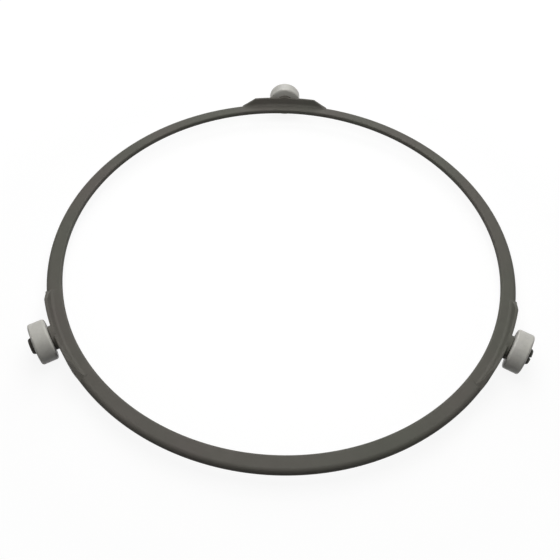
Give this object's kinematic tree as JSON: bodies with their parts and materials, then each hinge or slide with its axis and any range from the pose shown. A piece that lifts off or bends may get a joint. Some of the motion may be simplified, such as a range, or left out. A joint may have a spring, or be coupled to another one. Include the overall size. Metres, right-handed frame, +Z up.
{
  "type": "microwave roller ring",
  "caption": "Flat moulded hoop with small free-turning rollers on split snap axles outside its rim; it lies under a microwave oven's glass tray and lets the tray turn.",
  "frame": {"origin": "on the hoop's axis, in the plane of the oven floor that the rollers run on", "axes": "+Z up along the hoop's axis, +Y from the axis to the rear roller"},
  "size_m": [0.2004, 0.2097, 0.0163],
  "materials": {
    "ring_plastic": "warm dark grey heat-resistant moulding, fine matt texture",
    "roller_plastic": "off-white slippery plastic, smooth satin"
  },
  "bodies": {
    "hoop": {"ring": "ring_plastic"},
    "rear_wheel": {"roller_rear": "roller_plastic"},
    "left_wheel": {"roller_left": "roller_plastic"},
    "right_wheel": {"roller_right": "roller_plastic"}
  },
  "joints": [
    {"name": "rear_spin", "type": "hinge", "parent": "hoop", "child": "rear_wheel", "pos_m": [0, 0.1048, 0.00815], "axis": [0, 1, 0], "continuous": true},
    {"name": "left_spin", "type": "hinge", "parent": "hoop", "child": "left_wheel", "pos_m": [-0.09076, -0.0524, 0.00815], "axis": [-0.866, -0.5, 0], "continuous": true},
    {"name": "right_spin", "type": "hinge", "parent": "hoop", "child": "right_wheel", "pos_m": [0.09076, -0.0524, 0.00815], "axis": [0.866, -0.5, 0], "continuous": true}
  ]
}
